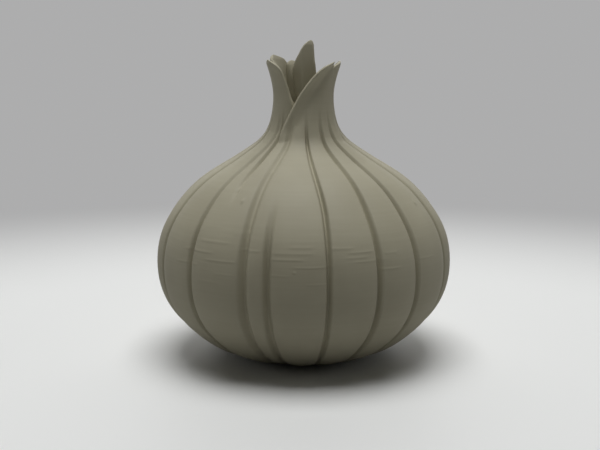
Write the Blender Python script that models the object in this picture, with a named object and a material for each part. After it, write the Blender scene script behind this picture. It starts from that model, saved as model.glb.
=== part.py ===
"""Garlic bulb ornament, printed in one piece.

A squat bulb of rounded lobes with narrow grooves between them. The lobes run up into a
narrow open neck, which ends in pointed leaves that overlap and lean outward, around one
taller inner leaf. The origin is the middle of the flat underside and +Y is the back.
"""
import bpy
import bmesh
from math import cos, exp, radians, sin

MM = 0.001

# Turned outline of the bulb: height and crest radius, in millimetres.
BASE_RADIUS = 16.5
BELLY_RADIUS = 40.2
OUTLINE = (
    (0.0, BASE_RADIUS), (0.7, 19.0), (1.8, 22.0), (3.6, 25.8), (7.4, 31.0), (13.0, 36.25),
    (20.0, 39.5), (27.0, BELLY_RADIUS), (33.0, 39.3), (38.0, 37.2), (43.0, 33.7),
    (47.5, 29.3), (51.0, 24.4), (54.0, 19.5), (56.5, 15.6), (58.7, 12.6), (60.8, 10.7),
    (63.0, 9.5), (65.5, 8.75), (69.0, 8.25), (72.0, 8.3), (75.0, 8.75), (78.0, 9.5),
    (81.0, 10.5), (84.0, 11.4),
)
RING_HEIGHTS = (0.0, 0.7, 1.8, 3.6, 6.2, 9.5, 13.5, 18.0, 23.0, 28.0, 33.0, 38.0, 42.5,
                46.5, 50.0, 53.0, 55.5, 57.5, 59.3, 61.2, 63.3, 65.5)

# Lobes: their widths in degrees, turning to the right from the first groove.
FIRST_GROOVE = -68.5
LOBE_WIDTHS = (22.5, 24.0, 9.0, 22.0, 19.0, 18.0, 23.0, 19.0, 20.0, 17.5, 19.0, 17.0,
               20.0, 18.5, 19.0, 17.5, 18.5, 18.0, 18.5)
GROOVE_DEPTH = 1.2
GROOVE_HALF = 1.7          # degrees
LOBE_BULGE = 0.55
LOBE_EDGE = 4.6            # degrees over which a lobe rounds down to its groove
GROOVE_TOP = 64.0          # full grooves have faded out here
LOW_GROOVES = {3: 46.0, 10: 44.0}                      # groove number: height it reaches
HIGH_GROOVES = ((-34.0, 48.0), (153.0, 47.0))          # azimuth, height it starts from

# Neck: the hollow, and where the bulb's skin passes under the leaves.
HOLLOW_RADIUS = 7.0
HOLLOW_FLOOR = 54.0
NECK_RIM = 65.5
LEAF_WALL = 1.15
ROOT_WALL = 1.3            # extra thickness where a leaf joins the neck rim
TUCK = 1.3

# Outer leaves: rows of (height, left edge, right edge) in millimetres and degrees, then
# how far the left edge, the right edge and the tip stand off the turned outline.
LEAVES = {
    "front_right": (
        ((56.0, -33, 72), (60.1, -34, 70), (62.2, -32, 69), (64.2, -27, 68),
         (66.3, -21, 67), (68.4, -14, 65), (70.5, -6, 64), (72.6, 4, 63), (74.6, 14, 62),
         (76.7, 26, 61), (78.2, 38, 60), (78.9, 47, 59), (79.3, 53, 58)), 0.3, 0.1, 0.0),
    "back_right": (
        ((56.4, 54, 172), (66.0, 54, 170), (70.0, 55, 160), (73.0, 57, 148),
         (76.0, 60, 132), (77.8, 65, 120), (78.9, 76, 111), (79.5, 90, 103)),
        -0.85, 0.3, 0.3),
    "front_left": (
        ((56.2, -122, -16), (64.0, -120, -16), (66.3, -119, -20), (68.4, -118, -25),
         (70.4, -116, -31), (72.5, -113, -35), (75.6, -107, -41), (77.2, -102, -44),
         (78.2, -97, -48), (79.0, -91, -55), (79.6, -84, -64), (79.9, -79, -71)),
        0.2, -0.85, 0.2),
    "back_left": (
        ((56.6, -168, -92), (66.0, -166, -92), (71.0, -162, -93), (74.0, -156, -94),
         (75.8, -151, -95), (77.7, -148, -97), (79.3, -145, -100), (80.4, -140, -105),
         (81.0, -131, -110), (81.3, -123, -114)),
        0.1, -0.85, -0.8),
    "back": (
        ((56.8, 148, 212), (66.0, 148, 212), (70.0, 150, 213), (73.0, 155, 214),
         (75.5, 163, 215), (77.5, 172, 215), (78.8, 182, 214), (79.5, 191, 212),
         (79.8, 197, 208)),
        -0.8, -0.8, -0.8),
}
LEAF_STEPS = 9

# Tall inner leaf: rows of (height, left, right), a keel line that faces the front.
INNER_LEAF = ((52.0, -1.4, 2.6), (62.0, -1.3, 2.9), (69.2, -1.5, 3.3), (71.4, -2.2, 3.4),
              (74.5, -2.6, 3.4), (77.2, -2.9, 3.2), (78.8, -2.5, 3.1), (80.1, -2.1, 2.9),
              (81.4, -1.5, 2.8), (83.1, -0.8, 2.6), (84.1, -0.1, 2.5), (84.9, 0.8, 2.4),
              (85.2, 1.5, 2.3))
INNER_KEEL_X = -0.3
INNER_KEEL_Y = -2.6
INNER_STEPS = 6


def smooth(low, high, value):
    t = min(max((value - low) / (high - low), 0.0), 1.0)
    return t * t * (3.0 - 2.0 * t)


def turned_radius(z):
    """Catmull-Rom curve through the outline stations."""
    pts = OUTLINE
    if z <= pts[0][0]:
        return pts[0][1]
    k = next((i for i in range(len(pts) - 1) if z <= pts[i + 1][0]), len(pts) - 2)
    (z1, r1), (z2, r2) = pts[k], pts[k + 1]
    z0, r0 = pts[max(k - 1, 0)]
    z3, r3 = pts[min(k + 2, len(pts) - 1)]
    t = min((z - z1) / (z2 - z1), 1.0)
    m1 = (r2 - r0) / (z2 - z0) * (z2 - z1)
    m2 = (r3 - r1) / (z3 - z1) * (z2 - z1)
    a, b = 2 * t**3 - 3 * t**2 + 1, t**3 - 2 * t**2 + t
    c, d = -2 * t**3 + 3 * t**2, t**3 - t**2
    return a * r1 + b * m1 + c * r2 + d * m2


def groove_lines():
    """Each groove as (azimuth, lowest height, highest height)."""
    lines, azimuth = [], FIRST_GROOVE
    for number, width in enumerate(LOBE_WIDTHS):
        lines.append((azimuth, -10.0, LOW_GROOVES.get(number, GROOVE_TOP)))
        azimuth += width
    lines += [(azimuth, low, GROOVE_TOP) for azimuth, low in HIGH_GROOVES]
    return lines


def groove_cut(azimuth, z, lines):
    """How deep the grooves and the rounding beside them go below the crest."""
    cut = 0.0
    scale = min(turned_radius(z) / 22.0, 1.0)
    for centre, low, high in lines:
        off = abs((azimuth - centre + 180.0) % 360.0 - 180.0)
        if off > 4.0 * LOBE_EDGE:
            continue
        strength = smooth(low - 3.0, low + 5.0, z) * (1.0 - smooth(high - 9.0, high, z))
        narrow = GROOVE_DEPTH * exp(-(off / GROOVE_HALF) ** 2)
        broad = LOBE_BULGE * exp(-(off / LOBE_EDGE) ** 1.5)
        cut += strength * scale * (narrow + broad)
    return cut


def columns(lines):
    """Azimuths of the mesh columns: groove centres, their rims, and the lobes between."""
    centres = sorted((line[0] + 180.0) % 360.0 - 180.0 for line in lines)
    angles = []
    for k, centre in enumerate(centres):
        following = centres[(k + 1) % len(centres)]
        width = (following - centre) % 360.0
        angles += [centre, centre + GROOVE_HALF]
        if width > 10.0:
            angles += [centre + LOBE_EDGE, centre + width / 2, centre + width - LOBE_EDGE]
        else:
            angles += [centre + width / 2]
        angles.append(centre + width - GROOVE_HALF)
    return angles


def polar(radius, azimuth, z):
    a = radians(azimuth)
    return (radius * sin(a) * MM, -radius * cos(a) * MM, z * MM)


def bridge(bm, lower, upper):
    """Quads between two closed rings of the same length."""
    n = len(lower)
    for k in range(n):
        j = (k + 1) % n
        bm.faces.new((lower[k], lower[j], upper[j], upper[k]))


def finish_mesh(bm, name):
    bmesh.ops.recalc_face_normals(bm, faces=bm.faces[:])
    mesh = bpy.data.meshes.new(name)
    bm.to_mesh(mesh)
    bm.free()
    obj = bpy.data.objects.new(name, mesh)
    bpy.context.scene.collection.objects.link(obj)
    return obj


def build_bulb():
    """The lobed bulb up to the neck, with the hollow that opens at its top."""
    lines = groove_lines()
    angles = columns(lines)
    bm = bmesh.new()
    rings = []
    for z in RING_HEIGHTS:
        under = TUCK * smooth(59.0, 62.5, z)
        radii = [turned_radius(z) - under - groove_cut(a, z, lines) for a in angles]
        rings.append([bm.verts.new(polar(r, a, z)) for r, a in zip(radii, angles)])
    hollow = ((NECK_RIM, HOLLOW_RADIUS), (58.0, HOLLOW_RADIUS), (55.2, 6.0),
              (HOLLOW_FLOOR, 4.0))
    for z, radius in hollow:
        rings.append([bm.verts.new(polar(radius, a, z)) for a in angles])
    for lower, upper in zip(rings, rings[1:]):
        bridge(bm, lower, upper)
    bm.faces.new(rings[0])
    bm.faces.new(rings[-1])
    return finish_mesh(bm, "garlic_bulb")


def with_steps(rows, longest=1.8):
    """The leaf's rows with rows added in between, so that none is far from the next."""
    full = [rows[0]]
    for start, end in zip(rows, rows[1:]):
        parts = int((end[0] - start[0]) / longest) + 1
        for k in range(1, parts + 1):
            full.append(tuple(a + (b - a) * k / parts for a, b in zip(start, end)))
    return full


def build_plate(name, outer, inner):
    """A closed curved plate between two grids of points with the same layout."""
    bm = bmesh.new()
    front = [[bm.verts.new(p) for p in row] for row in outer]
    back = [[bm.verts.new(p) for p in row] for row in inner]
    rows, cols = len(front), len(front[0])
    for i in range(rows - 1):
        for j in range(cols - 1):
            bm.faces.new((front[i][j], front[i][j + 1], front[i + 1][j + 1], front[i + 1][j]))
            bm.faces.new((back[i][j], back[i + 1][j], back[i + 1][j + 1], back[i][j + 1]))
    edge = [(0, j) for j in range(cols)] + [(i, cols - 1) for i in range(1, rows)]
    edge += [(rows - 1, j) for j in range(cols - 2, -1, -1)]
    edge += [(i, 0) for i in range(rows - 2, 0, -1)]
    for (i, j), (k, m) in zip(edge, edge[1:] + edge[:1]):
        bm.faces.new((front[i][j], back[i][j], back[k][m], front[k][m]))
    return finish_mesh(bm, name)


def build_outer_leaf(name, rows, left_off, right_off, tip_off):
    """One neck leaf: it starts inside the bulb's skin and ends in a leaning tip."""
    outer, inner = [], []
    tip = rows[-1][0]
    for z, left, right in with_steps(rows):
        rise = smooth(56.0, 62.0, z)
        near_tip = smooth(tip - 9.0, tip, z)
        wall = LEAF_WALL - 0.3 * near_tip + ROOT_WALL * (1.0 - smooth(63.5, 68.0, z))
        line, back_line = [], []
        for k in range(LEAF_STEPS + 1):
            t = k / LEAF_STEPS
            off = left_off + (right_off - left_off) * t
            radius = turned_radius(z) - 0.9 * (1.0 - rise) + off * rise + tip_off * near_tip
            azimuth = left + (right - left) * t
            line.append(polar(radius, azimuth, z))
            back_line.append(polar(radius - wall, azimuth, z))
        outer.append(line)
        inner.append(back_line)
    return build_plate(name, outer, inner)


def build_inner_leaf(name):
    """The tall leaf inside the neck, folded along a keel that faces the front."""
    outer, inner = [], []
    for z, left, right in INNER_LEAF:
        line, back_line = [], []
        for k in range(INNER_STEPS + 1):
            x = left + (right - left) * k / INNER_STEPS
            off = x - INNER_KEEL_X
            y = INNER_KEEL_Y + off * off / (4.0 if off < 0.0 else 9.0)
            line.append((x * MM, y * MM, z * MM))
            back_line.append((x * MM, (y + LEAF_WALL) * MM, z * MM))
        outer.append(line)
        inner.append(back_line)
    return build_plate(name, outer, inner)


def fuse(body, piece):
    """Join a piece to the body with a union and keep the piece as a guide."""
    union = body.modifiers.new(piece.name, "BOOLEAN")
    union.operation = "UNION"
    union.solver = "MANIFOLD"
    union.object = piece
    piece.hide_render = True
    piece.display_type = "WIRE"


def print_material():
    material = bpy.data.materials.new("matte_print")
    material.use_nodes = True
    shader = material.node_tree.nodes["Principled BSDF"]
    shader.inputs["Base Color"].default_value = (0.42, 0.40, 0.31, 1.0)
    shader.inputs["Roughness"].default_value = 0.6
    shader.inputs["Metallic"].default_value = 0.0
    return material


def main():
    for old in list(bpy.data.objects):
        bpy.data.objects.remove(old, do_unlink=True)
    body = build_bulb()
    for name, (rows, left_off, right_off, tip_off) in LEAVES.items():
        fuse(body, build_outer_leaf("guide_" + name, rows, left_off, right_off, tip_off))
    fuse(body, build_inner_leaf("guide_inner"))
    body.data.materials.append(print_material())
    body.data.shade_smooth()
    body.data.set_sharp_from_angle(angle=radians(40.0))


main()
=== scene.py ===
"""Looks of the printed garlic bulb: fine surfaces, matte print material, soft studio light.

Lengths are in millimetres in the tables and functions, and become metres when a mesh is made.
Azimuth 0 faces the camera (-Y) and grows towards +X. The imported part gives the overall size.
"""

import math

import bpy
import numpy as np
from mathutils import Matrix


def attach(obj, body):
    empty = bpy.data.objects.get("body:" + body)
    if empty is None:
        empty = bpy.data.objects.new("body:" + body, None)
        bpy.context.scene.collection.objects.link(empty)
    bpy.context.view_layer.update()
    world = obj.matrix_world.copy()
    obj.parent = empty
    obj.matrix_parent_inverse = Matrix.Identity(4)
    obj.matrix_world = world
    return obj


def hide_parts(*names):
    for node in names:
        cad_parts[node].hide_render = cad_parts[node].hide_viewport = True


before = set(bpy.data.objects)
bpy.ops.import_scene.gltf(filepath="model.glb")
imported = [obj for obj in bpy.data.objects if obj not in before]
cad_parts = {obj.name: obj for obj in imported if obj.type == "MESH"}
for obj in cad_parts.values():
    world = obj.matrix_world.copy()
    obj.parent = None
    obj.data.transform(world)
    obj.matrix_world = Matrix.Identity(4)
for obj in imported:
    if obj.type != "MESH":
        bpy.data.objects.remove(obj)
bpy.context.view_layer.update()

MM = 0.001
NODE = "garlic_bulb"
SLOT = "matte_print"

# Turned outline of the bulb and neck: height and crest radius.
OUTLINE = (
    (0.0, 16.5), (0.7, 19.0), (1.8, 22.0), (3.6, 25.8), (7.4, 31.0), (13.0, 36.25),
    (20.0, 39.5), (27.0, 40.2), (33.0, 39.3), (38.0, 37.2), (43.0, 33.7),
    (47.5, 29.3), (51.0, 24.4), (54.0, 19.5), (56.5, 15.6), (58.7, 12.6), (60.8, 10.7),
    (63.0, 9.5), (65.5, 8.75), (69.0, 8.25), (72.0, 8.3), (75.0, 8.75), (78.0, 9.5),
    (81.0, 10.5), (84.0, 11.4),
)

# Grooves: azimuth, width, height where it starts, height where it ends and over what
# length it fades there, how far it leans sideways (degrees) by the time it reaches the
# neck, and how much of its depth is left on the shoulder.
BELOW = -20.0
NECK_FADE = 68.0
FIRST_GROOVE = -68.5
LOBE_WIDTHS = (22.5, 24.0, 9.0, 22.0, 19.0, 18.0, 23.0, 19.0, 20.0, 17.5, 19.0, 17.0,
               20.0, 18.5, 19.0, 17.5, 18.5, 18.0, 18.5)
SPECIAL = {0: dict(upper=0.60), 1: dict(upper=0.62), 2: dict(width=1.5, upper=0.65),
           3: dict(width=1.25, high=48.0, fade=20.0), 4: dict(width=0.88, lean=-4.5),
           7: dict(upper=0.60), 9: dict(width=1.2, upper=0.8),
           10: dict(high=46.0, fade=18.0), 12: dict(width=1.3, upper=0.6),
           14: dict(upper=0.7), 15: dict(lean=4.0), 17: dict(width=1.2, upper=0.8)}
SHORT = (dict(azimuth=-33.5, low=48.0, lean=-6.0), dict(azimuth=153.0, low=47.0, lean=4.0))


def groove_list():
    """Every groove with its azimuth, width, low, high, fade, lean and upper."""
    grooves, azimuth = [], FIRST_GROOVE
    for number, lobe in enumerate(LOBE_WIDTHS):
        own = dict(azimuth=azimuth, width=1.0, low=BELOW, high=NECK_FADE, lean=0.0,
                   fade=12.0, upper=1.0)
        own.update(SPECIAL.get(number, {}))
        grooves.append(own)
        azimuth += lobe
    for short in SHORT:
        own = dict(width=0.9, high=NECK_FADE, fade=12.0, upper=1.0)
        own.update(short)
        grooves.append(own)
    return grooves


GROOVES = groove_list()
GROOVE_DEPTH = 2.0
GROOVE_FLOOR = 0.04        # half-width of the flat floor
GROOVE_MOUTH = 1.08        # half-width where the channel meets the lobe
LOBE_ROUND = 0.70          # how far a lobe's edge rounds down
LOBE_REACH = 2.6           # how far from the groove that rounding reaches
PINCH = 1.5                # the front shoulder is drawn in where it meets the neck
PINCH_REACH = 38.0         # degrees
PINCH_HEIGHT = 56.8

# Neck: the hollow and the wall of the leaves.
HOLLOW_RADIUS = 7.0
HOLLOW_FLOOR = 54.0
NECK_RIM = 65.5
LEAF_WALL = 1.15
ROOT_WALL = 1.3
TUCK = 0.9                 # how far one leaf passes under the next
TUCK_REACH = 16.0          # degrees

# Each leaf: rows of (height, left edge, right edge), which edges lie under a neighbour,
# and how far its tip stands off the turned outline.
LEAVES = {
    "front_right": dict(tip=0.0, columns=200, rows=(
        (57.0, -33, 72), (60.1, -34, 70), (62.2, -32, 69), (64.2, -27, 68),
        (66.3, -21, 67), (68.4, -14, 65), (70.5, -6, 64), (72.6, 4, 63), (74.6, 14, 62),
        (76.7, 26, 61), (78.2, 38, 60), (78.9, 47, 59), (79.3, 53, 58), (79.5, 56.5, 57))),
    "back_right": dict(tip=0.3, columns=170, rows=(
        (58.0, 54, 172), (66.0, 54, 170), (70.0, 55, 160), (73.0, 57, 148),
        (76.0, 60, 132), (77.8, 65, 120), (78.9, 76, 111), (79.5, 90, 103),
        (79.8, 97, 99))),
    "front_left": dict(tip=0.2, columns=170, rows=(
        (58.4, -122, -16), (64.0, -120, -16), (66.3, -119, -20), (68.4, -118, -25),
        (70.4, -116, -31), (72.5, -113, -35), (75.6, -107, -41), (77.2, -102, -44),
        (78.2, -97, -48), (79.0, -91, -55), (79.6, -84, -64), (79.9, -79, -71),
        (80.1, -75.5, -74.5))),
    "back_left": dict(tip=-0.8, columns=150, rows=(
        (58.8, -168, -92), (66.0, -166, -92), (71.0, -162, -93), (74.0, -156, -94),
        (75.8, -151, -95), (77.7, -148, -97), (79.3, -145, -100), (80.4, -140, -105),
        (81.0, -131, -110), (81.3, -123, -114), (81.5, -117, -116))),
    "back": dict(tip=-0.8, columns=120, rows=(
        (59.2, 148, 212), (66.0, 148, 212), (70.0, 150, 213), (73.0, 155, 214),
        (75.5, 163, 215), (77.5, 172, 215), (78.8, 182, 214), (79.5, 191, 212),
        (79.8, 197, 208), (80.0, 202, 204))),
}

# Tall inner leaf: rows of (height, left, right) across X, folded at a keel facing -Y.
INNER_ROWS = ((53.0, -1.2, 2.4), (62.0, -1.1, 2.7), (69.2, -1.3, 3.0), (71.4, -1.8, 3.0),
              (74.5, -2.2, 2.95), (77.2, -2.5, 2.75), (78.8, -2.1, 2.6), (80.1, -1.6, 2.4),
              (81.4, -0.9, 2.3), (83.1, 0.0, 2.2), (84.1, 0.7, 2.15), (84.9, 1.4, 2.1),
              (85.2, 1.75, 2.0))
INNER_KEEL = (-0.3, -2.6)
KEEL_ROUND = 0.35
KEEL_SLOPES = (1.2, 0.5)

# The front leaf's free edge is a raised bead with a shallow hollow beside it.
BEAD_RISE, BEAD_HALF = 0.40, 0.85
BESIDE_DIP, BESIDE_PLACE, BESIDE_HALF = 0.45, 3.2, 1.7

# Mesh density of the bulb: rows and columns.
BULB_ROWS = 210
BULB_COLUMNS = 880

# Raised layer lines on the belly: azimuth, height, half-length (degrees), rise.
LINE_HALF = 0.20
LAYER_LINES = (
    (-42.0, 33.6, 9.0, 0.09), (-31.0, 31.9, 8.0, 0.08), (-47.0, 30.2, 7.0, 0.07),
    (-28.0, 28.8, 6.0, 0.06), (-20.0, 34.8, 5.0, 0.07), (-6.0, 33.2, 7.0, 0.08),
    (3.0, 31.4, 8.0, 0.07), (-10.0, 29.4, 6.0, 0.06), (6.0, 27.4, 6.0, 0.06),
    (21.0, 34.6, 6.0, 0.08), (24.0, 32.4, 8.0, 0.07), (31.0, 30.1, 6.0, 0.07),
    (-36.0, 26.6, 6.0, 0.06), (50.0, 31.0, 7.0, 0.06), (-1.0, 36.0, 5.0, 0.07),
    (-35.0, 36.2, 8.0, 0.08), (-24.0, 38.4, 4.0, 0.07), (-4.0, 34.6, 9.0, 0.07),
    (14.0, 35.6, 5.0, 0.08), (33.0, 33.8, 3.0, 0.07), (19.0, 33.4, 5.0, 0.06),
    (-38.0, 39.5, 5.0, 0.05), (100.0, 30.5, 9.0, 0.08), (133.0, 33.0, 7.0, 0.07),
    (176.0, 29.5, 9.0, 0.08), (215.0, 31.8, 8.0, 0.07), (250.0, 30.0, 8.0, 0.07),
)

# Small specks: azimuth, height, radius.
SPECKS = ((-34.8, 47.9, 0.55), (-28.6, 45.6, 0.50), (-3.1, 30.3, 0.28), (59.6, 43.8, 0.50))

# Stage: the floor's colour, and the backdrop's level and where it takes over (metres).
FLOOR_COLOUR = (0.85, 0.86, 0.85, 1.0)
FLOOR_BOUNCE = (0.48, 0.48, 0.47, 1.0)   # what it sends back onto the bulb
BACKDROP_LEVEL = 0.42
BACKDROP_NEAR = 0.13
BACKDROP_FAR = 0.34
WORLD_LEVEL = 0.01

# Lights: place (metres), size and power.
LIGHTS = {
    "top": ((0.0, -0.02, 0.9), (0.60, 0.60), 6.7),
    "back": ((0.0, 1.0, 0.5), (1.6, 0.8), 4.2),
    "left": ((-0.9, 0.15, 0.25), (0.6, 0.4), 0.6),
    "right": ((0.9, 0.15, 0.25), (0.6, 0.4), 0.6),
}


def smooth(low, high, value):
    t = np.clip((np.asarray(value, float) - low) / (high - low), 0.0, 1.0)
    return t * t * (3.0 - 2.0 * t)


def spline(knots, values, at):
    """Natural cubic spline through (knots, values), read at the given places."""
    x, y = np.asarray(knots, float), np.asarray(values, float)
    n, h = len(x), np.diff(x)
    matrix, right = np.eye(n), np.zeros(n)
    for k in range(1, n - 1):
        matrix[k, k - 1:k + 2] = h[k - 1], 2 * (h[k - 1] + h[k]), h[k]
        right[k] = 6 * ((y[k + 1] - y[k]) / h[k] - (y[k] - y[k - 1]) / h[k - 1])
    bend = np.linalg.solve(matrix, right)
    at = np.asarray(at, float)
    i = np.clip(np.searchsorted(x, at) - 1, 0, n - 2)
    a, b = (x[i + 1] - at) / h[i], (at - x[i]) / h[i]
    curve = ((a**3 - a) * bend[i] + (b**3 - b) * bend[i + 1]) * h[i]**2 / 6
    return a * y[i] + b * y[i + 1] + curve


def monotone(knots, values, at):
    """Piecewise cubic that never overshoots its knots."""
    x, y = np.asarray(knots, float), np.asarray(values, float)
    h = np.diff(x)
    slope = np.diff(y) / h
    m = np.zeros(len(x))
    m[0], m[-1] = slope[0], slope[-1]
    same = slope[:-1] * slope[1:] > 0
    m[1:-1][same] = 2 * (slope[:-1] * slope[1:])[same] / (slope[:-1] + slope[1:])[same]
    at = np.asarray(at, float)
    i = np.clip(np.searchsorted(x, at) - 1, 0, len(x) - 2)
    t = (at - x[i]) / h[i]
    return ((1 + 2 * t) * (1 - t)**2 * y[i] + t * (1 - t)**2 * h[i] * m[i]
            + t**2 * (3 - 2 * t) * y[i + 1] + t**2 * (t - 1) * h[i] * m[i + 1])


STATION_Z, STATION_R = np.array(OUTLINE).T
STATION_T = np.concatenate([[0], np.cumsum(np.hypot(np.diff(STATION_Z), np.diff(STATION_R)))])
FINE_T = np.linspace(0, STATION_T[-1], 4000)
FINE_Z = spline(STATION_T, STATION_Z, FINE_T)
FINE_R = spline(STATION_T, STATION_R, FINE_T)


def turned_radius(z):
    return np.interp(z, FINE_Z, FINE_R)


def turn_between(a, b):
    """Signed angle from b to a, in degrees."""
    return (a - b + 180.0) % 360.0 - 180.0


def groove_cut(azimuth, z):
    """How deep the grooves and the rounded lobe edges go below the crest."""
    radius = turned_radius(z)
    size = np.clip(radius / 20.0, 0.0, 1.0)
    depth = GROOVE_DEPTH * (0.70 + 0.30 * smooth(18.0, 44.0, z))
    cut = np.zeros(np.broadcast(azimuth, z).shape)
    for groove in GROOVES:
        centre = groove["azimuth"] + groove["lean"] * smooth(42.0, 62.0, z)
        away = np.abs(turn_between(azimuth, centre)) * math.pi / 180.0 * radius
        low, high = groove["low"], groove["high"]
        strength = smooth(low - 4.0, low + 6.0, z) * (1.0 - smooth(high - groove["fade"], high, z))
        strength = strength * (1.0 - (1.0 - groove["upper"]) * smooth(30.0, 42.0, z))
        scale = groove["width"] * (0.35 + 0.65 * size)
        channel = 1.0 - smooth(GROOVE_FLOOR * scale, GROOVE_MOUTH * scale, away)
        rounding = np.exp(-(away / (LOBE_REACH * (0.3 + 0.7 * size)))**1.6)
        cut += strength * size * (depth * channel + LOBE_ROUND * rounding)
    front = np.exp(-(turn_between(azimuth, 3.0) / PINCH_REACH)**4)
    return cut + PINCH * front * np.exp(-((z - PINCH_HEIGHT) / 3.8)**2)


def edge_azimuth(name, side, z):
    rows = np.array(LEAVES[name]["rows"], float)
    return np.interp(z, rows[:, 0], rows[:, 1 if side == "left" else 2])


# Where one leaf lies over another: the upper leaf's name and the side of its edge.
LAPS = (("front_right", "left"), ("front_right", "right"), ("front_left", "left"),
        ("back_left", "left"), ("back_right", "right"))


def lap_tuck(azimuth, z, laps):
    """How far the skin under the upper leaf's edge lies below the outline."""
    tuck = np.zeros(np.broadcast(azimuth, z).shape)
    for name, side in laps:
        away = np.abs(turn_between(azimuth, edge_azimuth(name, side, z)))
        tuck = np.maximum(tuck, TUCK * np.exp(-(away / TUCK_REACH)**1.5))
    return tuck * smooth(54.0, 63.0, z)


def to_points(radius, azimuth, z):
    a = np.radians(azimuth)
    radius, a, z = np.broadcast_arrays(radius, a, z)
    return np.stack([radius * np.sin(a), -radius * np.cos(a), z], -1)


def ring_faces(rings, count):
    """Quads between closed rings of the same length, stacked upwards."""
    i = np.arange(rings - 1)[:, None] * count
    j = np.arange(count)[None, :]
    k = (j + 1) % count
    return np.stack([i + j, i + k, i + count + k, i + count + j], -1).reshape(-1, 4)


def make_object(name, points, faces, caps=()):
    mesh = bpy.data.meshes.new(name)
    faces = [tuple(f) for f in faces.tolist()] + [tuple(c) for c in caps]
    mesh.from_pydata((points.reshape(-1, 3) * MM).tolist(), [], faces)
    mesh.validate()
    mesh.update()
    mesh.shade_smooth()
    obj = bpy.data.objects.new(name, mesh)
    bpy.context.scene.collection.objects.link(obj)
    return obj


def bulb_heights():
    """Rows of the bulb's mesh: even along the outline, closer across the belly."""
    top = np.interp(NECK_RIM, FINE_Z, FINE_T)
    belly = np.interp(30.0, FINE_Z, FINE_T)
    t = np.linspace(0, top, 1500)
    density = 1.0 + 1.4 * np.exp(-((t - belly) / 8.0)**2) + 0.8 * np.exp(-(t / 4.0)**2)
    total = np.concatenate([[0], np.cumsum((density[1:] + density[:-1]) / 2)])
    t = np.interp(np.linspace(0, total[-1], BULB_ROWS), total, t)
    z = np.interp(t, FINE_T, FINE_Z)
    z[0], z[-1] = 0.0, NECK_RIM
    return z


def print_marks(azimuth, z):
    """Height of the raised layer lines and specks left by the printer."""
    radius = turned_radius(z)
    raised = np.zeros(np.broadcast(azimuth, z).shape)
    for place, height, reach, rise in LAYER_LINES:
        along = np.abs(turn_between(azimuth, place)) / reach
        line = (1.0 - smooth(0.6, 1.0, along)) * np.exp(-((z - height) / LINE_HALF)**2)
        raised += rise * line
    for place, height, size in SPECKS:
        across = turn_between(azimuth, place) * math.pi / 180.0 * radius
        away = np.hypot(across, z - height) / size
        raised += 0.6 * size * np.sqrt(np.clip(1.0 - away**2, 0.0, 1.0))
    return raised


def build_bulb():
    """The lobed bulb with its flat underside and the hollow that opens at the neck."""
    count = BULB_COLUMNS
    azimuth = np.arange(count) * 360.0 / count
    z = bulb_heights()[:, None]
    dip = 0.5 * smooth(60.5, 65.5, z)
    radius = turned_radius(z) - groove_cut(azimuth, z) - dip
    radius = radius - lap_tuck(azimuth, z, LAPS) + print_marks(azimuth, z)
    rings = [to_points(radius, azimuth, z)]
    hollow = ((NECK_RIM, HOLLOW_RADIUS + 0.4), (NECK_RIM - 0.5, HOLLOW_RADIUS),
              (58.0, HOLLOW_RADIUS), (56.2, 6.5), (55.0, 5.6), (HOLLOW_FLOOR, 4.0))
    for height, reach in hollow:
        rings.append(to_points(np.full(count, reach), azimuth, height)[None])
    points = np.concatenate(rings)
    faces = ring_faces(len(points), count)
    last = (len(points) - 1) * count
    caps = [range(count - 1, -1, -1), range(last, last + count)]
    return make_object("bulb", points, faces, caps)


def rounded_section(count, rim):
    """Places round a flat section with round ends: (across 0..1, depth 0..1) pairs.

    Depth 0 is the outer face and 1 the inner face. The ends bulge by the rim's width.
    """
    across = (1 - np.cos(np.linspace(0, math.pi, count))) / 2
    across = 0.5 * across + 0.5 * np.linspace(0, 1, count)
    turn = np.linspace(0, math.pi, rim + 2)[1:-1]
    outer = np.stack([across, np.zeros(count), np.zeros(count)], -1)
    right = np.stack([np.ones(rim), (1 - np.cos(turn)) / 2, np.sin(turn)], -1)
    inner = np.stack([across[::-1], np.ones(count), np.zeros(count)], -1)
    left = np.stack([np.zeros(rim), (1 + np.cos(turn)) / 2, -np.sin(turn)], -1)
    return np.concatenate([outer, right, inner, left])


def leaf_heights(rows, count):
    """Heights along a leaf, closer together towards its tip."""
    low, high = rows[0][0], rows[-1][0]
    s = np.linspace(0, 1, count)
    return low + (high - low) * (1 - (1 - s)**1.5)


def under_laps(name, leaf):
    """The laps where this leaf passes below a neighbour."""
    laps = {"front_left": [("front_right", "left")], "back_left": [("front_left", "left")],
            "back_right": [("front_right", "right")],
            "back": [("back_right", "right"), ("back_left", "left")]}
    return laps.get(name, [])


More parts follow.
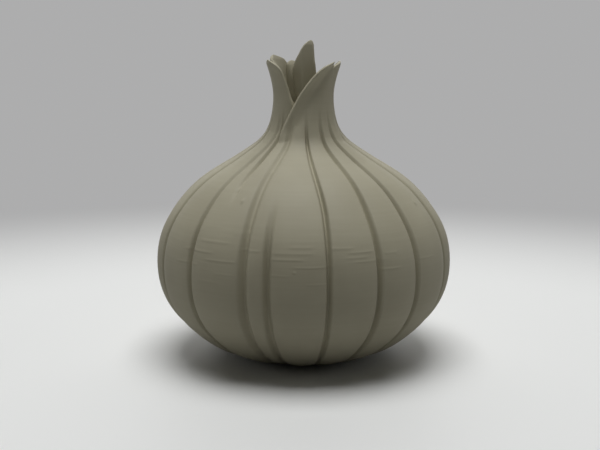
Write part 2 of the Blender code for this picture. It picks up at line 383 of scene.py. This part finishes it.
def build_leaf(name, leaf):
    """One neck leaf, with round rims and a pointed tip that leans outward."""
    rows = np.array(leaf["rows"], float)
    z = leaf_heights(leaf["rows"], 90)
    left = monotone(rows[:, 0], rows[:, 1], z)
    right = monotone(rows[:, 0], rows[:, 2], z)
    tip = rows[-1, 0]
    near_tip = smooth(tip - 9.0, tip, z)
    taper = np.sqrt(np.clip((tip - z) / 1.2, 0.02, 1.0))
    wall = (LEAF_WALL - 0.25 * near_tip) * taper + ROOT_WALL * (1 - smooth(63.5, 69.0, z))
    across, depth, bulge = rounded_section(leaf["columns"], 9).T
    middle = turned_radius(z)
    rim_turn = np.degrees(0.5 * wall / middle)
    azimuth = left[:, None] + (right - left)[:, None] * across + rim_turn[:, None] * bulge
    height = np.broadcast_to(z[:, None], azimuth.shape)
    outer = turned_radius(height) - groove_cut(azimuth, height)
    outer = outer - lap_tuck(azimuth, height, under_laps(name, leaf))
    outer = outer + leaf["tip"] * near_tip[:, None]
    root = 1 - smooth(rows[0, 0], rows[0, 0] + 3.5, height)
    sunk = lap_tuck(azimuth, height, LAPS)
    sunk = sunk - lap_tuck(azimuth, height, under_laps(name, leaf))
    outer = outer - root * (0.3 + sunk)
    if name == "front_right":
        from_edge = (azimuth - left[:, None]) * math.pi / 180.0 * middle[:, None]
        bead = BEAD_RISE * np.exp(-(from_edge / BEAD_HALF)**2)
        beside = BESIDE_DIP * np.exp(-((from_edge - BESIDE_PLACE) / BESIDE_HALF)**2)
        outer = outer + (bead - beside) * smooth(57.5, 62.0, height)
    slack = (1 - taper)[:, None] * 0.5 * LEAF_WALL
    radius = outer - slack - wall[:, None] * depth
    points = to_points(radius, azimuth, height)
    count = points.shape[1]
    faces = ring_faces(len(points), count)
    last = (len(points) - 1) * count
    caps = [range(count - 1, -1, -1), range(last, last + count)]
    return make_object("leaf_" + name, points, faces, caps)


def build_inner_leaf():
    """The tall leaf inside the neck, folded along a keel that faces the camera."""
    rows = np.array(INNER_ROWS, float)
    z = leaf_heights(INNER_ROWS, 90)
    left = monotone(rows[:, 0], rows[:, 1], z)
    right = monotone(rows[:, 0], rows[:, 2], z)
    tip = rows[-1, 0]
    taper = np.sqrt(np.clip((tip - z) / 1.2, 0.02, 1.0))
    wall = LEAF_WALL * taper
    across, depth, bulge = rounded_section(60, 9).T
    x = left[:, None] + (right - left)[:, None] * across + 0.5 * wall[:, None] * bulge
    off = x - INNER_KEEL[0]
    fold = np.hypot(off, KEEL_ROUND) - KEEL_ROUND
    y = INNER_KEEL[1] + fold * np.where(off < 0, *KEEL_SLOPES)
    y = y + (1 - taper)[:, None] * 0.5 * LEAF_WALL + wall[:, None] * depth
    points = np.stack([x, y, np.broadcast_to(z[:, None], x.shape)], -1)
    count = points.shape[1]
    faces = ring_faces(len(points), count)
    last = (len(points) - 1) * count
    caps = [range(count - 1, -1, -1), range(last, last + count)]
    return make_object("leaf_inner", points, faces, caps)


def add_node(tree, kind, **settings):
    node = tree.nodes.new(kind)
    for key, value in settings.items():
        setattr(node, key, value)
    return node


def print_material():
    """Matte grey-beige print: faint layer banding, a few horizontal marks, soft mottling."""
    material = bpy.data.materials.new(SLOT)
    material.use_nodes = True
    tree = material.node_tree
    link = tree.links.new
    shader = tree.nodes["Principled BSDF"]
    shader.inputs["Roughness"].default_value = 0.62
    shader.inputs["Specular IOR Level"].default_value = 0.35
    place = add_node(tree, "ShaderNodeTexCoord")
    mottle = add_node(tree, "ShaderNodeTexNoise")
    mottle.inputs["Scale"].default_value = 70.0
    mottle.inputs["Detail"].default_value = 4.0
    link(place.outputs["Object"], mottle.inputs["Vector"])
    stretch = add_node(tree, "ShaderNodeMapping")
    stretch.inputs["Scale"].default_value = (45.0, 45.0, 1300.0)
    link(place.outputs["Object"], stretch.inputs["Vector"])
    bands = add_node(tree, "ShaderNodeTexNoise")
    bands.inputs["Scale"].default_value = 1.0
    bands.inputs["Detail"].default_value = 3.0
    link(stretch.outputs["Vector"], bands.inputs["Vector"])
    mixed = add_node(tree, "ShaderNodeMath", operation="MULTIPLY_ADD")
    mixed.inputs[1].default_value = 0.35
    link(bands.outputs["Fac"], mixed.inputs[0])
    link(mottle.outputs["Fac"], mixed.inputs[2])
    ramp = add_node(tree, "ShaderNodeValToRGB")
    ramp.color_ramp.elements[0].position = 0.45
    ramp.color_ramp.elements[0].color = (0.384, 0.358, 0.262, 1.0)
    ramp.color_ramp.elements[1].position = 0.90
    ramp.color_ramp.elements[1].color = (0.422, 0.398, 0.294, 1.0)
    link(mixed.outputs[0], ramp.inputs["Fac"])
    link(ramp.outputs["Color"], shader.inputs["Base Color"])
    bump = add_node(tree, "ShaderNodeBump")
    bump.inputs["Strength"].default_value = 0.5
    bump.inputs["Distance"].default_value = 0.00006
    link(bands.outputs["Fac"], bump.inputs["Height"])
    link(bump.outputs["Normal"], shader.inputs["Normal"])
    return material


def build_stage():
    """A wide pale floor that turns into an even grey backdrop away from the bulb."""
    mesh = bpy.data.meshes.new("floor")
    turn = np.linspace(0, 2 * math.pi, 97)[:-1]
    ring = [(40.0 * math.cos(t), 40.0 * math.sin(t), 0.0) for t in turn]
    mesh.from_pydata(ring, [], [tuple(range(len(ring)))])
    floor = bpy.data.objects.new("floor", mesh)
    bpy.context.scene.collection.objects.link(floor)
    material = bpy.data.materials.new("floor")
    material.use_nodes = True
    tree = material.node_tree
    link = tree.links.new
    shader = tree.nodes["Principled BSDF"]
    light_path = add_node(tree, "ShaderNodeLightPath")
    tone = add_node(tree, "ShaderNodeMix", data_type="RGBA")
    link(light_path.outputs["Is Camera Ray"], tone.inputs[0])
    tone.inputs[6].default_value = FLOOR_BOUNCE
    tone.inputs[7].default_value = FLOOR_COLOUR
    link(tone.outputs[2], shader.inputs["Base Color"])
    shader.inputs["Roughness"].default_value = 0.55
    shader.inputs["Specular IOR Level"].default_value = 0.5
    place = add_node(tree, "ShaderNodeTexCoord")
    shift = add_node(tree, "ShaderNodeVectorMath", operation="ADD")
    shift.inputs[1].default_value = (0.0, 0.04, 0.0)
    link(place.outputs["Object"], shift.inputs[0])
    reach = add_node(tree, "ShaderNodeVectorMath", operation="LENGTH")
    link(shift.outputs["Vector"], reach.inputs[0])
    away = add_node(tree, "ShaderNodeMapRange", interpolation_type="SMOOTHSTEP")
    away.inputs["From Min"].default_value = BACKDROP_NEAR
    away.inputs["From Max"].default_value = BACKDROP_FAR
    link(reach.outputs["Value"], away.inputs["Value"])
    glow = add_node(tree, "ShaderNodeEmission")
    glow.inputs["Color"].default_value = (0.995, 0.995, 1.0, 1.0)
    glow.inputs["Strength"].default_value = BACKDROP_LEVEL
    blend = add_node(tree, "ShaderNodeMixShader")
    link(away.outputs[0], blend.inputs[0])
    link(shader.outputs[0], blend.inputs[1])
    link(glow.outputs[0], blend.inputs[2])
    link(blend.outputs[0], tree.nodes["Material Output"].inputs["Surface"])
    mesh.materials.append(material)


def area_light(name, place, target, size, power):
    data = bpy.data.lights.new(name, "AREA")
    data.shape = "RECTANGLE"
    data.size, data.size_y = size
    data.energy = power
    light = bpy.data.objects.new(name, data)
    light.location = place
    aim = np.array(target) - np.array(place)
    light.rotation_euler = mathutils_track(aim)
    light.visible_camera = False
    bpy.context.scene.collection.objects.link(light)
    return light


def mathutils_track(aim):
    from mathutils import Vector
    return Vector(aim.tolist()).to_track_quat("-Z", "Y").to_euler()


def build_lights():
    """Large soft lights, mostly above and behind, so the front is the darker side."""
    centre = (0.0, 0.0, 0.04)
    for name, (place, size, power) in LIGHTS.items():
        area_light(name, place, centre, size, power)
    world = bpy.data.worlds.new("world")
    world.use_nodes = True
    tree = world.node_tree
    light_path = add_node(tree, "ShaderNodeLightPath")
    background = tree.nodes["Background"]
    level = add_node(tree, "ShaderNodeMapRange")
    level.inputs["To Min"].default_value = WORLD_LEVEL
    level.inputs["To Max"].default_value = BACKDROP_LEVEL
    tree.links.new(light_path.outputs["Is Camera Ray"], level.inputs["Value"])
    tree.links.new(level.outputs[0], background.inputs["Strength"])
    background.inputs["Color"].default_value = (0.995, 0.995, 1.0, 1.0)
    bpy.context.scene.world = world


def build_camera():
    """Slightly above the bulb, looking down at it, as a short portrait lens would."""
    data = bpy.data.cameras.new("camera")
    data.sensor_width = 36.0
    data.lens = 56.1
    camera = bpy.data.objects.new("camera", data)
    elevation, distance = math.radians(11.4), 0.260
    camera.location = (0.0, -distance * math.cos(elevation),
                       0.0266 + distance * math.sin(elevation))
    pitch, yaw = math.radians(-9.56), math.radians(0.22)
    camera.rotation_euler = (math.pi / 2 + pitch, 0.0, yaw)
    bpy.context.scene.collection.objects.link(camera)
    bpy.context.scene.camera = camera


def main():
    material = print_material()
    pieces = [build_bulb(), build_inner_leaf()]
    pieces += [build_leaf(name, leaf) for name, leaf in LEAVES.items()]
    for piece in pieces:
        piece.data.materials.append(material)
        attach(piece, "root")
    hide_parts(NODE)
    build_stage()
    build_lights()
    build_camera()
    bpy.context.scene.view_settings.view_transform = "Standard"


main()
